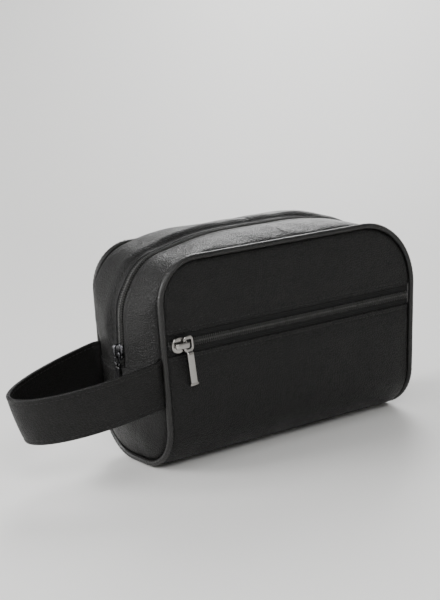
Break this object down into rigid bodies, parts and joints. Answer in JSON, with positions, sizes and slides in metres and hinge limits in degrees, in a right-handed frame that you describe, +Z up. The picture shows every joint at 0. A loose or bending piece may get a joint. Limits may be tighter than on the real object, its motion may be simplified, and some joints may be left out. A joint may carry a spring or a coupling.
{
  "type": "shaving kit bag",
  "caption": "Soft leather wash bag standing upright, with a zip over the top, a zipped front pocket, piped seams and a wrist strap loop on one end.",
  "frame": {"origin": "middle of the flat strip of the bottom that the bag stands on, midway between the two ends of the body", "axes": "+X along the width away from the wrist strap, -Y towards the front with the pocket zip, +Z up"},
  "size_m": [0.3567, 0.0943, 0.1664],
  "materials": {
    "leather": "satin black, fine pebble grain",
    "piping_leather": "satin black, stretched grain",
    "strap_leather": "satin black, fine pebble grain",
    "lining_cloth": "black woven polyester",
    "binding_cloth": "black woven tape",
    "board": "matt grey board",
    "zip_tape": "black woven tape",
    "zip_coil": "black nylon",
    "bright_nickel": "polished nickel",
    "black_nickel": "black nickel",
    "black_pull": "gloss black",
    "spring_steel": "plain steel"
  },
  "bodies": {
    "bag": {"wrap_panel": "leather", "front_upper_panel": "leather", "gusset_front_strip": "leather", "gusset_rear_strip": "leather", "left_end_panel": "leather", "right_end_panel": "leather", "front_piping": "piping_leather", "rear_piping": "piping_leather", "front_seam_binding": "binding_cloth", "rear_seam_binding": "binding_cloth", "wrap_lining": "lining_cloth", "gusset_front_lining": "lining_cloth", "gusset_rear_lining": "lining_cloth", "left_end_lining": "lining_cloth", "right_end_lining": "lining_cloth", "bottom_stiffener": "board", "pocket_lining": "lining_cloth", "pocket_upper_tape": "zip_tape", "pocket_lower_tape": "zip_tape", "pocket_upper_coil": "zip_coil", "pocket_lower_coil": "zip_coil", "main_front_tape": "zip_tape", "main_rear_tape": "zip_tape", "main_front_coil": "zip_coil", "main_rear_coil": "zip_coil", "main_zip_stops": "black_nickel", "strap_front_anchor": "strap_leather", "strap_rear_anchor": "strap_leather"},
    "pocket_slider": {"pocket_slider_body": "bright_nickel", "pocket_slider_crown": "bright_nickel", "pocket_slider_lock": "spring_steel"},
    "pocket_pull": {"pocket_pull": "bright_nickel"},
    "main_slider": {"main_slider_body": "black_nickel", "main_slider_crown": "black_nickel", "main_slider_lock": "spring_steel"},
    "main_link": {"main_pull_link": "black_nickel"},
    "main_tab": {"main_pull_tab": "black_pull"},
    "strap": {"strap_outer": "strap_leather", "strap_lining": "strap_leather"}
  },
  "joints": [
    {"name": "pocket_zip_slide", "type": "slide", "parent": "bag", "child": "pocket_slider", "axis": [1, 0, 0], "range_m": [0, 0.212]},
    {"name": "pocket_pull_swing", "type": "hinge", "parent": "pocket_slider", "child": "pocket_pull", "pos_m": [-0.10375, -0.04678, 0.097], "axis": [0, -1, 0], "range_deg": [-42, 73]},
    {"name": "main_zip_slide", "type": "slide", "parent": "bag", "child": "main_slider", "axis": [0.02, 0, 0.9998], "range_m": [0, 0.018]},
    {"name": "main_link_lift", "type": "hinge", "parent": "main_slider", "child": "main_link", "pos_m": [-0.13466, 0, 0.08841], "axis": [0, 1, 0], "range_deg": [0, 110]},
    {"name": "main_tab_lift", "type": "hinge", "parent": "main_link", "child": "main_tab", "pos_m": [-0.13485, 0, 0.07891], "axis": [0, 1, 0], "range_deg": [0, 90]},
    {"name": "strap_flex", "type": "hinge", "parent": "bag", "child": "strap", "pos_m": [-0.1245, 0, 0.07], "axis": [0, 1, 0], "range_deg": [-10, 10], "stiffness_Nm_per_rad": 0.4}
  ]
}
